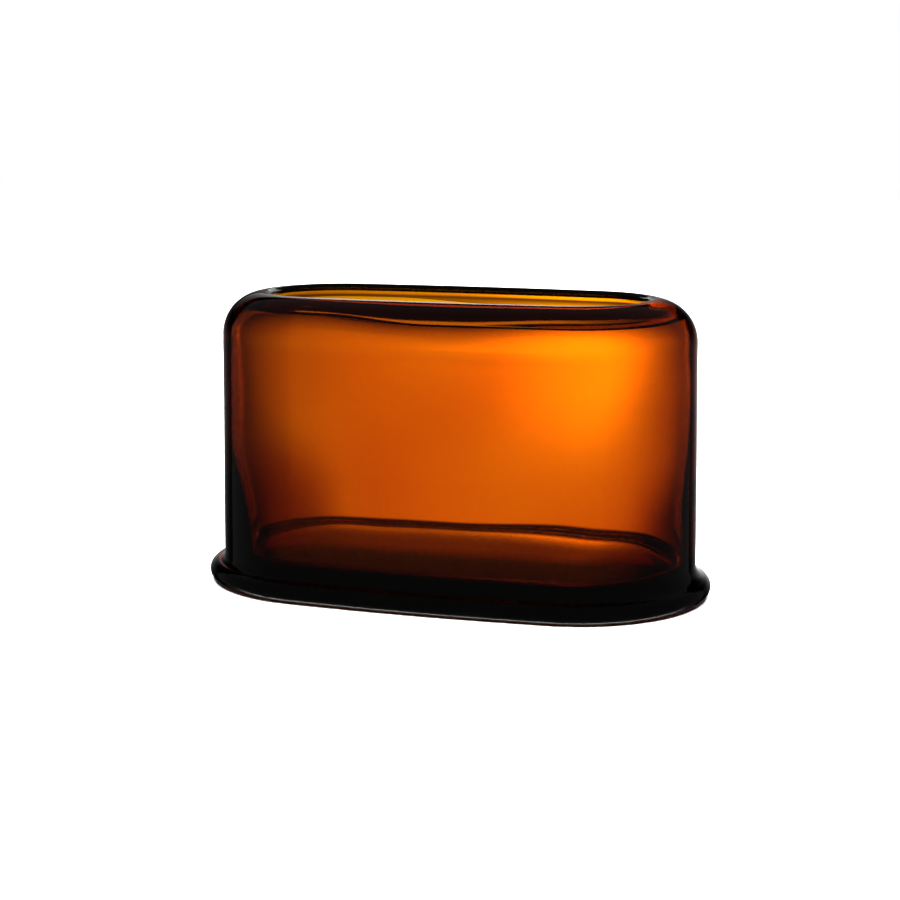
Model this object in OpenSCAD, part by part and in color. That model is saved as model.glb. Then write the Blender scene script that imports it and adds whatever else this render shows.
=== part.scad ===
// Wide oval vase in mouth-blown amber glass, standing on an applied foot.
// Millimetres, +Z up. The origin is the centre of the face that the vase
// stands on, +X runs along the long axis and -Y is the front.
//
// Every piece is one profile carried round a four-arc oval. A profile's x is
// the distance outward from the reference oval, which is the outside of the
// wall just below the shoulder, and its y is the height.

/* [Body] */
// Length of the body, along X, kept to the nearest half millimetre
body_length = 252; // [230:1:290]
// Depth of the body, along Y
body_depth = 129; // [118:1:140]
// Height of the whole vase
height = 153.5; // [135:0.5:190]
// Thickness of the upright wall
wall = 4; // [3:0.1:5]
// How much wider the wall is at its base than at the shoulder, each side
wall_flare = 1.3; // [0:0.1:3]
// Outer radius of the shoulder
shoulder_r = 22; // [18:0.5:26]
// Thickness of the blown glass where the lip wrap begins
edge_wall = 2.2; // [1.6:0.1:2.6]
// Height of the inside floor
floor_height = 16.5; // [13:0.5:20]
// Radius between the inside floor and the wall
floor_corner_r = 4; // [3:0.5:8]

/* [Lip wrap] */
// Thickness of the wrap that is laid under the shoulder
wrap_t = 1.6; // [1:0.1:2.2]
// How far the wrap reaches down under the shoulder, as an angle from its top
wrap_angle = 42; // [20:1:60]

/* [Foot] */
// Radius of the foot's rounded edge
bead_r = 5.25; // [4.5:0.05:5.6]
// How far the foot stands out beyond the reference oval
foot_reach = 9.25; // [8:0.05:10]
// Radius of the hollow curve between the foot and the wall
toe_r = 5; // [3:0.5:8]
// Depth of the polished hollow under the foot
punt_depth = 1.2; // [0.5:0.1:2]
// Width of the flat ring that the foot stands on
contact_ring = 14; // [10:0.5:20]

/* [Hidden] */
$fn = 360;
AMBER = [0.62, 0.24, 0.02];
DARK_AMBER = [0.42, 0.14, 0.02];

// The reference oval: two end arcs and two long, nearly straight side arcs. An end
// arc and a side arc meet on the line through both centres. That line follows the
// 237 : 3116 : 3125 right triangle, which keeps every centre and radius a short number.
leg_x = 237;
leg_y = 3116;
slant = 3125;
half_depth = body_depth / 2;
unit = round(1000 * (body_length / 2 - half_depth) / (leg_x - slant + leg_y)) / 1000;
end_x = leg_x * unit;
side_centre = leg_y * unit;
end_r = half_depth - (slant - leg_y) * unit;
side_r = end_r + slant * unit;

// The shoulder, outside and inside; the glass thins towards the mouth
shoulder_z = height - shoulder_r;
lip_x = -shoulder_r - wrap_t / 4;
inner_r = -lip_x - wall;
inner_z = height - edge_wall - inner_r;
edge_r = (edge_wall + wrap_t) / 2;

// The foot's rounded edge and the hollow curve that joins it to the wall. The two
// arcs touch at the height of the seam between foot and body.
bead_x = foot_reach - bead_r;
toe_x = wall_flare + toe_r;
toe_z = bead_r + sqrt(pow(bead_r + toe_r, 2) - pow(toe_x - bead_x, 2));
seam_z = bead_r + (toe_z - bead_r) * bead_r / (bead_r + toe_r);

// A filled profile runs inward to here, past the middle of the oval
overrun = 20;
deep = half_depth + overrun;

// How far a cut runs past the face that it opens through
clear = 1;

// Slope of the step into the hollow under the foot, as width over depth
punt_slope = 4;

// The oval's sectors run outward past its joints by this share of the centre
// distances, and each side arc is turned this far either way from its middle
sector_past = 0.4;
side_turn = 6;

// An end sector runs on in X to this many times that distance
sector_reach = 4;

// Points along an arc about [x, y], from one angle to another
function arc(x, y, r, from, to, steps = 12) =
    [for (i = [0:steps]) let (a = from + (to - from) * i / steps) [x + r * cos(a), y + r * sin(a)]];

// Carries a profile round the oval. A filled profile runs past the middle.
module sweep() {
    far_x = (1 + sector_past) * end_x;
    far_y = sector_past * side_centre;
    for (end = [0, 1]) mirror([end, 0, 0]) intersection() {
        translate([end_x, 0, 0]) rotate_extrude() intersection() {
            translate([end_r, 0]) children();
            translate([0, -height]) square([2 * end_r, 3 * height]);
        }
        tall() polygon([[end_x, 0], [far_x, far_y], [sector_reach * far_x, far_y],
                        [sector_reach * far_x, -far_y], [far_x, -far_y]]);
    }
    for (side = [0, 1]) mirror([0, side, 0]) intersection() {
        translate([0, -side_centre, 0])
            rotate_extrude(angle = 2 * side_turn, start = 90 - side_turn)
                translate([side_r, 0]) children();
        tall() polygon([[0, -side_centre], [far_x, far_y], [-far_x, far_y]]);
    }
}

// Extrudes a region of the plan far above and below the vase
module tall() {
    translate([0, 0, -height]) linear_extrude(3 * height) children();
}

// Outside of the blown body, from the seam with the foot to the mouth
module body_outside() {
    difference() {
        polygon([[-deep, seam_z], [toe_x, seam_z], [toe_x, toe_z], [wall_flare, toe_z],
                 [0, shoulder_z], [-shoulder_r, shoulder_z], [-shoulder_r, height],
                 [-deep, height]]);
        translate([toe_x, toe_z]) circle(r = toe_r);
    }
    intersection() {
        translate([-shoulder_r, shoulder_z]) circle(r = shoulder_r);
        translate([-shoulder_r, shoulder_z]) square(shoulder_r);
    }
}

// Space inside the blown body, open upward at the mouth
module body_inside() {
    corner_x = -wall - floor_corner_r;
    corner_z = floor_height + floor_corner_r;
    polygon([[-deep, floor_height], [corner_x, floor_height], [corner_x, corner_z],
             [-wall, corner_z], [-wall, inner_z], [lip_x, inner_z],
             [lip_x, height + clear], [-deep, height + clear]]);
    intersection() {
        translate([corner_x, corner_z]) circle(r = floor_corner_r);
        translate([corner_x, floor_height]) square(floor_corner_r);
    }
    intersection() {
        translate([lip_x, inner_z]) circle(r = inner_r);
        translate([lip_x, inner_z]) square(inner_r);
    }
}

// Blown bubble of glass: floor, upright wall and shoulder
module blown_body() {
    color(AMBER) difference() {
        sweep() body_outside();
        sweep() body_inside();
    }
}

// Trail of glass wound inside the mouth: a round edge and a lap under the shoulder
module lip_wrap() {
    lap_end = 90 - wrap_angle;
    toe_mid = inner_r - wrap_t / 2;
    color(DARK_AMBER) sweep() polygon(concat(
        arc(lip_x, height - edge_r, edge_r, 90, 270),
        arc(lip_x, inner_z, inner_r - wrap_t, 90, lap_end),
        arc(lip_x + toe_mid * cos(lap_end), inner_z + toe_mid * sin(lap_end),
            wrap_t / 2, lap_end - 180, lap_end),
        arc(lip_x, inner_z, inner_r, lap_end, 90)));
}

// Solid oval pad with a rounded edge, hollowed a little underneath
module foot() {
    ring_x = bead_x - contact_ring;
    color(DARK_AMBER) difference() {
        sweep() {
            translate([-deep, 0]) square([deep + bead_x, seam_z]);
            intersection() {
                translate([bead_x, bead_r]) circle(r = bead_r);
                translate([bead_x, -bead_r]) square([2 * bead_r, bead_r + seam_z]);
            }
        }
        sweep() polygon([[-deep, -clear], [ring_x, -clear], [ring_x, 0],
                         [ring_x - punt_slope * punt_depth, punt_depth],
                         [-deep, punt_depth]]);
    }
}

blown_body();
lip_wrap();
foot();
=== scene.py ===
"""Wide oval vase in amber blown glass: its looks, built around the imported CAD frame."""

import math
from collections import namedtuple

import bmesh
import bpy
from mathutils import Matrix, Vector, noise


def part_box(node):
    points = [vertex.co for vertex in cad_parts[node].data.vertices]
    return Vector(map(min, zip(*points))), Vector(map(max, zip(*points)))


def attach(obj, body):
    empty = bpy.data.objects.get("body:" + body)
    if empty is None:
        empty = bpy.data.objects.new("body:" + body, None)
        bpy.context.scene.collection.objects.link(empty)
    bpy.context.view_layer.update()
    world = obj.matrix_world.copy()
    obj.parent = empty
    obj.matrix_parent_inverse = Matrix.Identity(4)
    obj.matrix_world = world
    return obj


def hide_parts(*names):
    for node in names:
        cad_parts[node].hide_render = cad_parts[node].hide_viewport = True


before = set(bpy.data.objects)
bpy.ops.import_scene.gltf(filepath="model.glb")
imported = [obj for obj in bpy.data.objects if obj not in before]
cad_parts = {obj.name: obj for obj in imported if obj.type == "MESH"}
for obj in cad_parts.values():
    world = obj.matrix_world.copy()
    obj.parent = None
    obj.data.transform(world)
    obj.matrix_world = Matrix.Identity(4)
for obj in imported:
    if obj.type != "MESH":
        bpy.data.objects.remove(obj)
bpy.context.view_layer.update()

MM = 0.001


# ---------------------------------------------------------------- driving sizes, in mm

FOOT_REACH = 9.25          # the foot stands out this far beyond the reference oval
BEAD_R = 5.25              # radius of the foot's rounded edge
UNDER_REACH = 7.6          # the bead's lower half is flatter: it reaches this far in
TOE_R = 5.2                # radius of the hollow curve above the foot, at the vase's middle;
TOE_R_GROWTH = 2.4         # it is this much larger at the right end, and smaller at the left,
TOE_R_WAVE = 0.5           # and it waves by this
WALL_FLARE = 1.3           # the wall is this much wider at its base, each side
WALL = 4.5                 # thickness of the upright wall at its top
WALL_LOW = 3.8             # and just above the floor,
WALL_LOW_LEFT = 8.0        # where the glass has gathered at the left end
WALL_LOW_RIGHT = 5.5       # and at the right end
END_FROM = 0.65            # an end's thicker wall begins at this share of the half length
SPOT_EXTRA = 0.8           # the front wall is this much thicker in a wide spot near its middle,
SPOT_X = 15.0
SPOT_Z = 100.0
SPOT_SIZE = 40.0
THIN_LESS = 1.0            # and thinner in another, to the right and lower down
THIN_X = 56.0
THIN_Z = 82.0
THIN_SIZE = 32.0
SHOULDER_R = 22.0
SHOULDER_BACK = 3.5        # thickness of the blown glass high on the shoulder, at the back
SHOULDER_FRONT = 6.0       # and at the front, where it has gathered
EDGE_BACK = 2.3            # the same at the mouth's edge
EDGE_FRONT = 6.0
GATHER_ANGLE = 80.0        # the thickness changes up to this angle on the shoulder,
EDGE_ANGLE = 65.0          # and from this angle on towards that of the mouth's edge
LESS_LEFT = 0.45           # the share by which less has gathered at the left of the front
LESS_RIGHT = 0.4           # and at the right.
LESS_LEFT_FROM = 0.05      # It lessens from these shares of the half length,
LESS_RIGHT_FROM = 0.1
LESS_OVER = 0.5            # over this share of it
WRAP_T = 1.6               # thickness of the wrap's lap under the shoulder
LAP_LEFT = 52.0            # the wrap's wavy lower edge, as an angle up the shoulder
LAP_RIGHT = 40.0
LAP_FROM = -0.42           # it turns from left to right from this share of the half length,
LAP_OVER = 0.45            # over this share of it
LAP_TOE = 2.2              # length of that edge's rounding, along the shoulder
FLOOR_Z = 16.55            # height of the inside floor at its edge
FLOOR_CORNER_R = 4.2
FLOOR_CORNER_END = 5.0     # the same at the two ends
FLOOR_DOME = 3.5           # the inside floor rises this much towards its middle
DOME_POWER = 2.5           # how early the dome's slope flattens
DOME_SHARE = 0.9           # the dome has its full height after this share of the way in
CONTACT_RING = 14.0        # width of the flat ring that the foot stands on
PUNT_DEPTH = 1.2           # depth of the hollow inside that ring
PUNT_SLOPE = 10.0          # width of the soft slope between the two
SEAM_MIDDLE_Z = 10.4       # height of the seam between foot and body at the oval's middle line
OUTSIDE_WAVE = 0.25        # the glass waves this much outside
INSIDE_WAVE = 0.35         # and inside
SEAM_GAP = 0.02            # air left between two pieces of glass, so that no faces coincide

foot_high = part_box("foot")[1] / MM
TOP_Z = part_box("blown_body")[1].z / MM
HALF_LENGTH = foot_high.x - FOOT_REACH
HALF_DEPTH = foot_high.y - FOOT_REACH

# The plan is a four-arc oval on a 237 : 3116 : 3125 right triangle, as in the CAD model.
LEG_X = 237
LEG_Y = 3116
SLANT = 3125
UNIT = (HALF_LENGTH - HALF_DEPTH) / (LEG_X - SLANT + LEG_Y)
END_X = LEG_X * UNIT
SIDE_CENTRE = LEG_Y * UNIT
END_R = HALF_DEPTH - (SLANT - LEG_Y) * UNIT
SIDE_R = END_R + SLANT * UNIT
JOINT_ANGLE = math.atan2(LEG_X, LEG_Y)

SHOULDER_Z = TOP_Z - SHOULDER_R
LIP_X = -SHOULDER_R - WRAP_T / 4
BEAD_X = FOOT_REACH - BEAD_R
UNDER_X = FOOT_REACH - UNDER_REACH

# Steps of the profiles
WALL_STEPS = 24
INNER_WALL_STEPS = 26
SHOULDER_STEPS = 30
LAP_STEPS = 24
TOE_STEPS = 14
CORNER_STEPS = 14
LAP_TOE_STEPS = 12
EDGE_STEPS = 24
UNDER_STEPS = 20
BEAD_STEPS = 16
CAP_STEPS = 10
FLOOR_CAP_STEPS = 24

# Vertices nearer than WELD are one, shorter edges than TINY go, and sharper turns are creases
WELD = 1e-6
TINY = 1e-7
CREASE = math.radians(35)


# ---------------------------------------------------------------- the plan, and its waves

Station = namedtuple("Station", "x y nx ny spine_x end")


def stations(end_steps=112, side_steps=36):
    """Points round the reference oval, with the outward normal, and how far towards +X (-1 to 1)."""
    found = []

    def add(cx, cy, radius, first, last, steps):
        for i in range(steps):
            a = first + (last - first) * i / steps
            nx, ny = math.cos(a), math.sin(a)
            x, y = cx + radius * nx, cy + radius * ny
            spine_x = max(-END_X, min(END_X, x))
            found.append(Station(x, y, nx, ny, spine_x, x / HALF_LENGTH))

    quarter, half = math.pi / 2, math.pi
    j = JOINT_ANGLE
    add(END_X, 0, END_R, j - quarter, quarter - j, end_steps)
    add(0, -SIDE_CENTRE, SIDE_R, quarter - j, quarter + j, side_steps)
    add(-END_X, 0, END_R, quarter + j, half + quarter - j, end_steps)
    add(0, SIDE_CENTRE, SIDE_R, half + quarter - j, half + quarter + j, side_steps)
    return found


def wave(st, z, size, seed):
    """Smooth noise over the vase, between about -1 and 1, with bumps of about that size in mm."""
    at = Vector((st.x + st.nx * 3, st.y + st.ny * 3, z)) / size
    return noise.noise(at + Vector((seed * 7.3, seed * 3.1, seed * 5.7))) * 1.6


def blend(a, b, t):
    return a + (b - a) * t


def ease(t):
    """From 0 to 1 with a soft start and a soft end."""
    t = max(0, min(1, t))
    return t * t * (3 - 2 * t)


def arc(cx, cz, r, first, last, steps):
    """Points along an arc in a profile, angles in degrees, both ends included."""
    for i in range(steps + 1):
        a = math.radians(blend(first, last, i / steps))
        yield cx + r * math.cos(a), cz + r * math.sin(a)


def front(st):
    """1 along the front of the vase, 0 along its back."""
    return ease(0.5 - st.ny)


def gathered(st):
    """How much the glass has gathered in the shoulder: most at the middle of the front."""
    at_left = ease((-st.end - LESS_LEFT_FROM) / LESS_OVER)
    at_right = ease((st.end - LESS_RIGHT_FROM) / LESS_OVER)
    return front(st) * (1 - LESS_LEFT * at_left - LESS_RIGHT * at_right)


def edge_wall(st):
    """Thickness of the blown glass at the mouth."""
    return blend(EDGE_BACK, EDGE_FRONT, gathered(st))


def under_shoulder(st, degrees, deeper=0):
    """A point of the shoulder's inner face, at an angle above level; deeper lies further inside."""
    shoulder_wall = blend(SHOULDER_BACK, SHOULDER_FRONT, gathered(st))
    thick = blend(WALL, shoulder_wall, ease(degrees / GATHER_ANGLE))
    thick = blend(thick, edge_wall(st), ease((degrees - EDGE_ANGLE) / (90 - EDGE_ANGLE)))
    r = SHOULDER_R - thick - deeper
    centre_x = blend(-SHOULDER_R, LIP_X, degrees / 90)
    a = math.radians(degrees)
    return centre_x + r * math.cos(a), SHOULDER_Z + r * math.sin(a)


# ---------------------------------------------------------------- profiles of the three pieces

def toe(st):
    """The hollow curve above the foot: its radius, its centre, and where the seam crosses it."""
    r = TOE_R + TOE_R_GROWTH * st.end + TOE_R_WAVE * wave(st, 0, size=60, seed=1)
    x = WALL_FLARE + r
    z = BEAD_R + math.sqrt((BEAD_R + r) ** 2 - (x - BEAD_X) ** 2)
    share = BEAD_R / (BEAD_R + r)
    seam = (BEAD_X + (x - BEAD_X) * share, BEAD_R + (z - BEAD_R) * share)
    return r, x, z, seam


def lap_angle(st):
    """Where the wrap's wavy lower edge lies on the inner shoulder, in degrees above level."""
    angle = blend(LAP_LEFT, LAP_RIGHT, ease((st.end - LAP_FROM) / LAP_OVER))
    return angle + wave(st, 0, size=55, seed=2)


def between(z, low, rise, high, drop):
    """0 up to low, then up to 1 over rise; and down to 0 at high, over drop."""
    return min(1, max(0, (z - low) / rise)) * min(1, max(0, (high - z) / drop))


def outside_wave(st, z):
    """How far the outside of the wall stands out from its ideal shape."""
    fade = between(z, low=12, rise=20, high=TOP_Z, drop=30)
    return OUTSIDE_WAVE * wave(st, z, size=70, seed=3) * fade


def inside_wave(st, z):
    """The same for the inside."""
    fade = between(z, low=20, rise=25, high=TOP_Z - 12, drop=25)
    return INSIDE_WAVE * wave(st, z, size=48, seed=4) * fade


def front_spot(st, z, x0, z0, size):
    """A smooth spot on the front wall, 1 in its middle."""
    away = ((st.x - x0) ** 2 + (z - z0) ** 2) / size ** 2
    return math.exp(-away) * front(st)


def outer_profile(st):
    """From the seam with the foot, up the outside to the top of the shoulder."""
    r, toe_x, toe_z, seam = toe(st)
    seam_angle = math.degrees(math.atan2(seam[1] - toe_z, seam[0] - toe_x)) % 360
    points = list(arc(toe_x, toe_z, r, seam_angle, 180, TOE_STEPS))
    for i in range(1, WALL_STEPS):
        z = blend(toe_z, SHOULDER_Z, i / WALL_STEPS)
        x = blend(WALL_FLARE, 0, i / WALL_STEPS)
        points.append((x + outside_wave(st, z), z))
    points += arc(-SHOULDER_R, SHOULDER_Z, SHOULDER_R, 0, 90, SHOULDER_STEPS)
    return points


def inner_wall(st):
    """From under the shoulder down the inside, round the corner to the floor's edge."""
    at_end = ease((abs(st.end) - END_FROM) / (1 - END_FROM))
    corner = blend(FLOOR_CORNER_R, FLOOR_CORNER_END, at_end)
    low = blend(WALL_LOW, WALL_LOW_LEFT if st.end < 0 else WALL_LOW_RIGHT, at_end)
    corner_z = FLOOR_Z + corner
    points = []
    for i in range(1, INNER_WALL_STEPS):
        down = i / INNER_WALL_STEPS
        z = blend(SHOULDER_Z, corner_z, down)
        thick = blend(WALL, WALL_LOW, ease(down))
        thick += (low - WALL_LOW) * ease(2 * down - 1)
        thick += SPOT_EXTRA * front_spot(st, z, SPOT_X, SPOT_Z, SPOT_SIZE)
        thick -= THIN_LESS * front_spot(st, z, THIN_X, THIN_Z, THIN_SIZE)
        points.append((inside_wave(st, z) - thick, z))
    points += arc(-low - corner, corner_z, corner, 0, -90, CORNER_STEPS)
    return points


def body_profile(st):
    """From the seam with the foot, up outside, over the edge and down inside to the floor."""
    points = outer_profile(st)
    seam_from = len(points)
    points.append((LIP_X, TOP_Z))
    lap = lap_angle(st)
    points += [under_shoulder(st, blend(90, lap, i / LAP_STEPS)) for i in range(LAP_STEPS + 1)]
    seam_to = len(points) - 1
    points += [under_shoulder(st, blend(lap, 0, i / LAP_STEPS)) for i in range(1, LAP_STEPS + 1)]
    return points + inner_wall(st), (seam_from, seam_to)


def lip_profile(st):
    """A closed ring: the lap's seam face, its thin toe, its underside and the mouth's round edge."""
    lap = lap_angle(st)
    gap = SEAM_GAP
    seam = [(LIP_X - gap, TOP_Z)]
    seam += [under_shoulder(st, blend(90, lap, i / LAP_STEPS), gap) for i in range(LAP_STEPS + 1)]
    toe_angle = math.degrees(LAP_TOE / SHOULDER_R)
    under = []
    for i in range(1, LAP_TOE_STEPS):
        turn = i / LAP_TOE_STEPS * math.pi / 2
        a = lap + toe_angle * (1 - math.cos(turn))
        under.append(under_shoulder(st, a, gap + WRAP_T * math.sin(turn)))
    under += [under_shoulder(st, blend(lap + toe_angle, 90, i / LAP_STEPS), gap + WRAP_T)
              for i in range(LAP_STEPS + 1)]
    edge_r = (edge_wall(st) + WRAP_T) / 2
    edge = list(arc(LIP_X, TOP_Z - edge_r, edge_r, 270, 90, EDGE_STEPS))[1:-1]
    return seam + under + edge, len(seam)


def foot_profile(st):
    """From the middle of the underside out, round the bead and up to the seam."""
    seam = toe(st)[3]
    ring_in = BEAD_X - CONTACT_RING
    points = [(blend(ring_in - PUNT_SLOPE, ring_in, t), PUNT_DEPTH * (1 - ease(t)))
              for t in (0, 0.2, 0.4, 0.6, 0.8, 1)]
    points += [(blend(ring_in, UNDER_X, t), 0) for t in (0.33, 0.67)]
    points += [(UNDER_X + UNDER_REACH * x, BEAD_R * (1 + z))
               for x, z in arc(0, 0, 1, -90, 0, UNDER_STEPS)]
    seam_angle = math.degrees(math.atan2(seam[1] - BEAD_R, seam[0] - BEAD_X))
    points += list(arc(BEAD_X, BEAD_R, BEAD_R, 0, seam_angle, BEAD_STEPS))[1:]
    return points


# ---------------------------------------------------------------- mesh building

def point_at(st, offset, z):
    return Vector((st.x + st.nx * offset, st.y + st.ny * offset, z)) * MM


def add_cap(bm, ring, ring_stations, spine_z, steps=CAP_STEPS, dome=0):
    """Closes a ring of vertices with rings that shrink towards the oval's middle line.

    Where dome isn't 0, the cap rises by that many mm on the way in.
    """
    faces = []
    last = ring
    for s in range(1, steps + 1):
        t = s / steps
        new = []
        for v, st in zip(ring, ring_stations):
            middle = Vector((st.spine_x * MM, 0, spine_z * MM))
            co = v.co.lerp(middle, t)
            co.z += dome * MM * (1 - max(0, 1 - t / DOME_SHARE) ** DOME_POWER)
            new.append(bm.verts.new(co))
        n = len(new)
        for i in range(n):
            k = (i + 1) % n
            faces.append(bm.faces.new((last[i], last[k], new[k], new[i])))
        last = new
    return faces


def finish_mesh(name, bm, seam_faces):
    """Welds, points the faces outward, marks the seam and makes the object."""
    layer = bm.faces.layers.float["seam"]
    for f in bm.faces:
        f.smooth = True
    for f in seam_faces:
        f[layer] = 1
    bmesh.ops.remove_doubles(bm, verts=bm.verts, dist=WELD)
    bmesh.ops.dissolve_degenerate(bm, edges=bm.edges, dist=TINY)
    bmesh.ops.recalc_face_normals(bm, faces=bm.faces)
    for e in bm.edges:
        if len(e.link_faces) == 2:
            turn = e.link_faces[0].normal.angle(e.link_faces[1].normal, 0)
            e.smooth = turn < CREASE
    mesh = bpy.data.meshes.new(name)
    bm.to_mesh(mesh)
    bm.free()
    obj = bpy.data.objects.new(name, mesh)
    bpy.context.scene.collection.objects.link(obj)
    return obj


def new_bmesh():
    """An empty mesh whose faces can be marked as a seam."""
    bm = bmesh.new()
    bm.faces.layers.float.new("seam")
    return bm


def rings_of(bm, round_oval, profiles):
    """One ring of vertices for each point of the profile."""
    count = len(profiles[0])
    return [[bm.verts.new(point_at(st, *profile[k])) for st, profile in zip(round_oval, profiles)]
            for k in range(count)]


def add_band(bm, low, high):
    """The faces between two rings of vertices."""
    n = len(low)
    return [bm.faces.new((low[i], low[(i + 1) % n], high[(i + 1) % n], high[i]))
            for i in range(n)]


def make_body(name):
    round_oval = stations()
    made = [body_profile(st) for st in round_oval]
    seam_from, seam_to = made[0][1]
    bm = new_bmesh()
    rings = rings_of(bm, round_oval, [m[0] for m in made])
    seam_faces = []
    for k in range(len(rings) - 1):
        faces = add_band(bm, rings[k], rings[k + 1])
        if seam_from <= k < seam_to:
            seam_faces += faces
    add_cap(bm, rings[-1], round_oval, FLOOR_Z, FLOOR_CAP_STEPS, FLOOR_DOME)
    seam_faces += add_cap(bm, rings[0], round_oval, SEAM_MIDDLE_Z)
    return finish_mesh(name, bm, seam_faces)


def make_lip(name):
    round_oval = stations()
    made = [lip_profile(st) for st in round_oval]
    seam_points = made[0][1]
    bm = new_bmesh()
    rings = rings_of(bm, round_oval, [m[0] for m in made])
    seam_faces = []
    for k in range(len(rings)):
        faces = add_band(bm, rings[k], rings[(k + 1) % len(rings)])
        if k < seam_points - 1:
            seam_faces += faces
    return finish_mesh(name, bm, seam_faces)


def make_foot(name):
    round_oval = stations()
    bm = new_bmesh()
    rings = rings_of(bm, round_oval, [foot_profile(st) for st in round_oval])
    for low, high in zip(rings, rings[1:]):
        add_band(bm, low, high)
    add_cap(bm, rings[0], round_oval, PUNT_DEPTH)
    for v in rings[-1]:
        v.co.z -= SEAM_GAP * MM
    seam_faces = add_cap(bm, rings[-1], round_oval, SEAM_MIDDLE_Z - SEAM_GAP)
    return finish_mesh(name, bm, seam_faces)


# ---------------------------------------------------------------- materials

GLASS_IOR = 1.5
# Absorption of the amber glass for red, green and blue light, per metre
ABSORPTION = (122.0, 318.0, 1500.0)


def new_material(name):
    mat = bpy.data.materials.new(name)
    mat.use_nodes = True
    mat.node_tree.nodes.clear()
    return mat, mat.node_tree.nodes, mat.node_tree.links


def amber_glass(name):
    """Clear amber glass. Its colour is in its depth; a seam between two pieces is not seen."""
    mat, nodes, links = new_material(name)
    out = nodes.new("ShaderNodeOutputMaterial")
    surface = nodes.new("ShaderNodeBsdfPrincipled")
    surface.inputs["Base Color"].default_value = (1, 1, 1, 1)
    surface.inputs["Transmission Weight"].default_value = 1
    surface.inputs["Roughness"].default_value = 0
    surface.inputs["IOR"].default_value = GLASS_IOR
    seam = nodes.new("ShaderNodeAttribute")
    seam.attribute_name = "seam"
    ior = nodes.new("ShaderNodeMapRange")
    ior.inputs["To Min"].default_value = GLASS_IOR
    ior.inputs["To Max"].default_value = 1.0
    links.new(seam.outputs["Fac"], ior.inputs["Value"])
    links.new(ior.outputs["Result"], surface.inputs["IOR"])
    depth = nodes.new("ShaderNodeVolumeAbsorption")
    strongest = max(ABSORPTION)
    depth.inputs["Density"].default_value = strongest
    depth.inputs["Color"].default_value = (*[1 - a / strongest for a in ABSORPTION], 1)
    links.new(surface.outputs[0], out.inputs["Surface"])
    links.new(depth.outputs[0], out.inputs["Volume"])
    return mat


def pale_floor():
    mat, nodes, links = new_material("pale_floor")
    out = nodes.new("ShaderNodeOutputMaterial")
    shade = nodes.new("ShaderNodeBsdfDiffuse")
    shade.inputs["Color"].default_value = (0.9, 0.9, 0.9, 1)
    links.new(shade.outputs[0], out.inputs["Surface"])
    return mat


# ---------------------------------------------------------------- the vase

parts = {
    "blown_body": ("vase_blown_body", make_body, "body_glass"),
    "lip_wrap": ("vase_lip_wrap", make_lip, "lip_glass"),
    "foot": ("vase_foot", make_foot, "foot_glass"),
}
for node, (name, make, slot) in parts.items():
    piece = make(name)
    piece.data.materials.append(amber_glass(slot))
    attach(piece, "root")
    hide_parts(node)


# ---------------------------------------------------------------- floor, light and camera

def plane(name, half_x, half_y):
    """A flat card about its own origin, which is no part of the vase."""
    bm = bmesh.new()
    corners = [(-half_x, -half_y), (half_x, -half_y), (half_x, half_y), (-half_x, half_y)]
    bm.faces.new([bm.verts.new((x, y, 0)) for x, y in corners])
    mesh = bpy.data.meshes.new(name)
    bm.to_mesh(mesh)
    bm.free()
    obj = bpy.data.objects.new(name, mesh)
    bpy.context.scene.collection.objects.link(obj)
    return obj


# Places and sizes on the stage are in metres, and angles in radians.
FLOOR_HALF = 4.0
FLOOR_GAP = 0.0001         # the floor lies this far below the ring that the vase stands on
WASH_LEVEL = 18.0
WASH_SPREAD = math.radians(60)

CAMERA_AT = (0.3021, -0.9533, 0.2534)
CAMERA_YAW = 0.31          # from straight along +Y towards -X
CAMERA_PITCH = 0.18        # downward
CAMERA_LENS = 77.4         # mm, on a sensor 36 mm wide


def white_floor():
    """Seen by the camera; the glass neither mirrors it nor shows it through."""
    floor = plane("floor", FLOOR_HALF, FLOOR_HALF)
    floor.data.materials.append(pale_floor())
    floor.location.z = -FLOOR_GAP
    floor.visible_glossy = False
    floor.visible_transmission = False


def photo_camera():
    data = bpy.data.cameras.new("camera")
    data.lens = CAMERA_LENS
    data.sensor_width = 36
    camera = bpy.data.objects.new("camera", data)
    bpy.context.scene.collection.objects.link(camera)
    camera.location = CAMERA_AT
    look = Vector((-math.sin(CAMERA_YAW) * math.cos(CAMERA_PITCH),
                   math.cos(CAMERA_YAW) * math.cos(CAMERA_PITCH),
                   -math.sin(CAMERA_PITCH)))
    camera.rotation_mode = "QUATERNION"
    camera.rotation_quaternion = look.to_track_quat("-Z", "Y")
    bpy.context.scene.camera = camera


def wash():
    """A wide soft light from straight above, for the floor alone: the glass doesn't see it."""
    data = bpy.data.lights.new("wash", "SUN")
    data.energy = WASH_LEVEL
    data.angle = WASH_SPREAD
    obj = bpy.data.objects.new("wash", data)
    bpy.context.scene.collection.objects.link(obj)
    obj.visible_glossy = False
    obj.visible_transmission = False


# The glow card behind the vase. Places on it are across, to the camera's right, and up from
# the table's level.
CARD_HALF_WIDTH = 0.8
CARD_HALF_HEIGHT = 0.5
GLOW_DISTANCE = 0.6
GLOW_YAW = CAMERA_YAW      # the card faces the camera
GLOW_LEVEL = 2.4
GLOW_ACROSS = 0.06         # its middle
GLOW_WIDTH = 0.215         # where it has fallen to half, to each side,
GLOW_SIDE_POWER = 4        # and how suddenly
GLOW_NARROWING = 1.2       # how fast it narrows below the table's level,
GLOW_NARROWEST = 0.2       # and the share of its width that is left at least
GLOW_TOP = 0.11            # upward it falls, about here, to a step
GLOW_STEP = 0.4            # with this share of its brightness,
GLOW_END = 0.17            # and the step has fallen to half here
GLOW_TOP_POWER = 6         # how suddenly both falls happen
GLOW_FADE = -0.12          # downward it begins to fade here,
GLOW_BOTTOM = -0.26        # and it ends here
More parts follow.
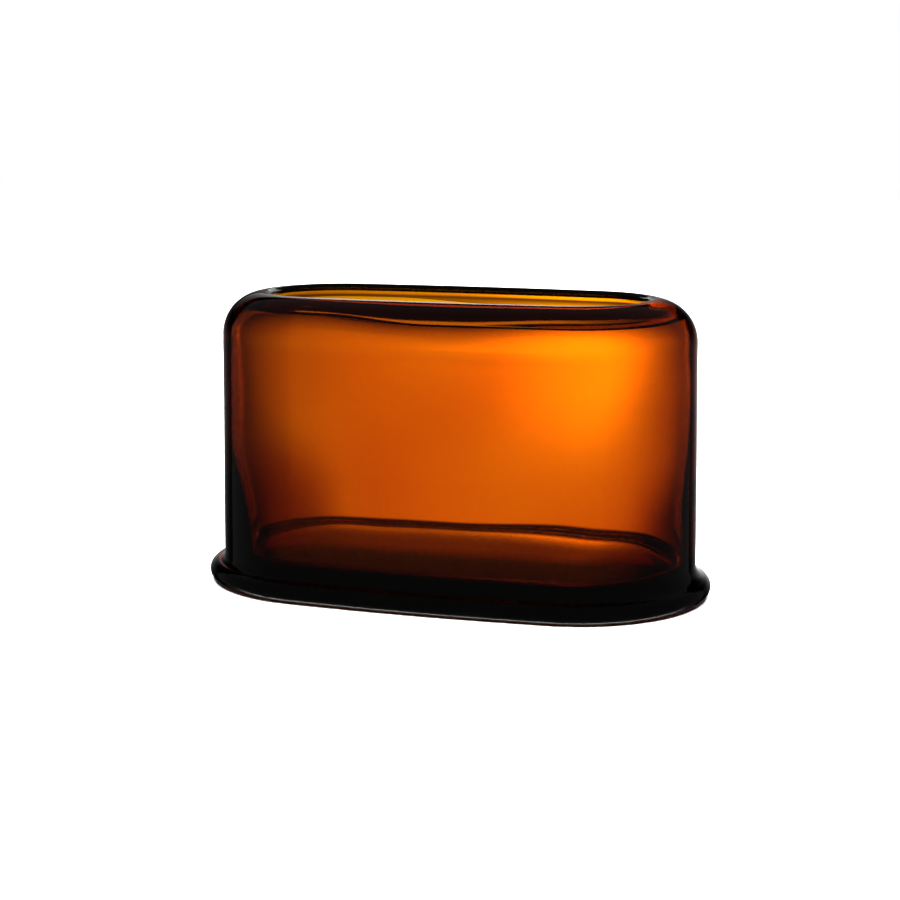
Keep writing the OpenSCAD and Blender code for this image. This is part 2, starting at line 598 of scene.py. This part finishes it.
HOT_ACROSS = 0.114         # the bright spot in the glow
HOT_UP = 0.058
HOT_WIDTH = 0.046
HOT_HEIGHT = 0.050
HOT_LEVEL = 5.4
SHELF_ACROSS = 0.045       # a flat bright bar in it, which the vase's floor mirrors
SHELF_UP = 0.055
SHELF_WIDTH = 0.08
SHELF_HEIGHT = 0.022
SHELF_LEVEL = 0.7

LAMP_POWER = 6             # how suddenly a lamp fades towards its ends
ROOM_THROUGH = 1.4         # the room as seen through the glass, on the camera's side and below
ROOM_MIRRORED = 0.05       # the room as mirrored by the glass
# The room's two light regions, as the bounds of a ray's direction between which it brightens:
# how far it points behind the vase, and how far it points up
NEAR_SIDE = (-0.1, -0.6)
BELOW = (-0.97, -0.99)


class Nodes:
    """Short forms for building a tree of maths nodes."""

    def __init__(self, tree):
        self.nodes, self.links = tree.nodes, tree.links
        self.nodes.clear()

    def new(self, kind, **inputs):
        node = self.nodes.new(kind)
        for name, value in inputs.items():
            self.put(node.inputs[name.replace("_", " ")], value)
        return node

    def put(self, socket, value):
        if isinstance(value, bpy.types.NodeSocket):
            self.links.new(value, socket)
        else:
            socket.default_value = value

    def math(self, operation, a, b=0.0):
        node = self.nodes.new("ShaderNodeMath")
        node.operation = operation
        self.put(node.inputs[0], a)
        self.put(node.inputs[1], b)
        return node.outputs[0]

    def smooth(self, value, low, high):
        node = self.nodes.new("ShaderNodeMapRange")
        node.interpolation_type = "SMOOTHSTEP"
        self.put(node.inputs["Value"], value)
        node.inputs["From Min"].default_value = low
        node.inputs["From Max"].default_value = high
        return node.outputs["Result"]

    def spot(self, x, z, x0, z0, width, height):
        """Distance from (x0, z0), in units of the half width and half height."""
        dx = self.math("DIVIDE", self.math("SUBTRACT", x, x0), width)
        dz = self.math("DIVIDE", self.math("SUBTRACT", z, z0), height)
        squares = self.math("ADD", self.math("MULTIPLY", dx, dx), self.math("MULTIPLY", dz, dz))
        return self.math("SQRT", squares)


def bell(n, distance):
    """A smooth bump, 1 in its middle."""
    half_square = n.math("MULTIPLY", n.math("MULTIPLY", distance, distance), -0.5)
    return n.math("POWER", math.e, half_square)


def fall(n, distance, power):
    """Falls from 1 in the middle to half at a distance of 1, with a long tail."""
    return n.math("DIVIDE", 1.0, n.math("ADD", n.math("POWER", distance, power), 1.0))


def glow_material():
    mat = bpy.data.materials.new("glow")
    mat.use_nodes = True
    n = Nodes(mat.node_tree)
    place = n.new("ShaderNodeTexCoord")
    axes = n.new("ShaderNodeSeparateXYZ", Vector=place.outputs["Object"])
    x, z = axes.outputs[0], axes.outputs[1]
    width = n.math("ADD", n.math("MULTIPLY", n.math("MINIMUM", z, 0), GLOW_NARROWING), 1)
    width = n.math("MULTIPLY", n.math("MAXIMUM", width, GLOW_NARROWEST), GLOW_WIDTH)
    aside = n.math("ABSOLUTE", n.math("SUBTRACT", x, GLOW_ACROSS))
    glow = fall(n, n.math("DIVIDE", aside, width), GLOW_SIDE_POWER)
    above = n.math("MAXIMUM", z, 0)
    plateau = fall(n, n.math("DIVIDE", above, GLOW_TOP), GLOW_TOP_POWER)
    step = fall(n, n.math("DIVIDE", above, GLOW_END), GLOW_TOP_POWER)
    plateau = n.math("MULTIPLY", plateau, 1 - GLOW_STEP)
    step = n.math("MULTIPLY", step, GLOW_STEP)
    glow = n.math("MULTIPLY", glow, n.math("ADD", plateau, step))
    glow = n.math("MULTIPLY", glow, n.smooth(z, GLOW_BOTTOM, GLOW_FADE))
    glow = n.math("MULTIPLY", glow, GLOW_LEVEL)
    hot = bell(n, n.spot(x, z, HOT_ACROSS, HOT_UP, HOT_WIDTH, HOT_HEIGHT))
    glow = n.math("ADD", glow, n.math("MULTIPLY", hot, HOT_LEVEL))
    shelf = bell(n, n.spot(x, z, SHELF_ACROSS, SHELF_UP, SHELF_WIDTH, SHELF_HEIGHT))
    glow = n.math("ADD", glow, n.math("MULTIPLY", shelf, SHELF_LEVEL))
    shine = n.new("ShaderNodeEmission", Strength=glow)
    out = n.new("ShaderNodeOutputMaterial")
    n.links.new(shine.outputs[0], out.inputs["Surface"])
    return mat


def glow_card():
    """The soft light behind the vase; it reaches below the table, as if mirrored in it."""
    card = plane("glow_card", CARD_HALF_WIDTH, CARD_HALF_HEIGHT)
    card.data.materials.append(glow_material())
    place_behind(card, 0, GLOW_DISTANCE, 0, math.pi / 2)


def place_behind(card, across, out, up, tilt):
    """Puts a card behind the vase, where the glass alone sees it."""
    card.location = Matrix.Rotation(GLOW_YAW, 4, "Z") @ Vector((across, out, up))
    card.rotation_mode = "XYZ"
    card.rotation_euler = (tilt, 0, GLOW_YAW)
    card.visible_camera = False
    card.visible_diffuse = False
    card.visible_shadow = False


def lamp_material(name, reach, level):
    """Light that fades towards the lamp's two ends; reach is where half of it is left."""
    mat = bpy.data.materials.new(name)
    mat.use_nodes = True
    n = Nodes(mat.node_tree)
    place = n.new("ShaderNodeTexCoord")
    axes = n.new("ShaderNodeSeparateXYZ", Vector=place.outputs["Object"])
    aside = n.math("DIVIDE", n.math("ABSOLUTE", axes.outputs[0]), reach)
    light = n.math("MULTIPLY", fall(n, aside, LAMP_POWER), level)
    shine = n.new("ShaderNodeEmission", Strength=light)
    out = n.new("ShaderNodeOutputMaterial")
    n.links.new(shine.outputs[0], out.inputs["Surface"])
    return mat


def lamp_card(name, reach, half_height, across, out, up, tilt, level):
    """A long lamp; it stands across, out behind and up from the middle of the vase's foot."""
    card = plane(name, 2 * reach, half_height)
    card.data.materials.append(lamp_material(name, reach, level))
    place_behind(card, across, out, up, tilt)
    return card


def studio_world():
    """White to the camera. Mirrored it is a dim room, and through the glass a black one that is
    lit on the camera's side and straight below.
    """
    world = bpy.data.worlds.new("world")
    bpy.context.scene.world = world
    world.use_nodes = True
    n = Nodes(world.node_tree)
    ray = n.new("ShaderNodeLightPath")
    way = n.new("ShaderNodeTexCoord").outputs["Generated"]
    behind = n.new("ShaderNodeVectorMath", Vector=way)
    behind.operation = "DOT_PRODUCT"
    behind.inputs[1].default_value = (-math.sin(GLOW_YAW), math.cos(GLOW_YAW), 0)
    axes = n.new("ShaderNodeSeparateXYZ", Vector=way)
    near_side = n.smooth(behind.outputs["Value"], *NEAR_SIDE)
    below = n.smooth(axes.outputs[2], *BELOW)
    seen_through = n.math("MULTIPLY", n.math("MAXIMUM", near_side, below), ROOM_THROUGH)
    seen_through = n.math("MULTIPLY", seen_through, ray.outputs["Is Transmission Ray"])
    mirrored = n.math("MULTIPLY", ray.outputs["Is Glossy Ray"], ROOM_MIRRORED)
    light = n.math("ADD", n.math("ADD", seen_through, mirrored), ray.outputs["Is Camera Ray"])
    shine = n.new("ShaderNodeBackground", Strength=light)
    shine.inputs["Color"].default_value = (1, 1, 1, 1)
    out = n.new("ShaderNodeOutputWorld")
    n.links.new(shine.outputs[0], out.inputs["Surface"])


white_floor()
photo_camera()
wash()
glow_card()
# For the lit edge of the lip, and the bright line that the front shoulder shows
lamp_card("rim_lamp", reach=0.09, half_height=0.018, across=-0.012, out=0.14, up=0.19,
          tilt=math.pi / 2, level=1.4)
# For the thin lit line along the foot's lower edge: it lies flat, below the table's level,
# and is only mirrored
foot_lamp = lamp_card("foot_lamp", reach=0.5, half_height=0.06, across=0, out=0.3, up=-0.5,
                      tilt=math.pi, level=2.0)
foot_lamp.visible_transmission = False
studio_world()

scene = bpy.context.scene
scene.view_settings.view_transform = "Standard"
scene.cycles.max_bounces = 32
scene.cycles.transmission_bounces = 32
scene.cycles.glossy_bounces = 16
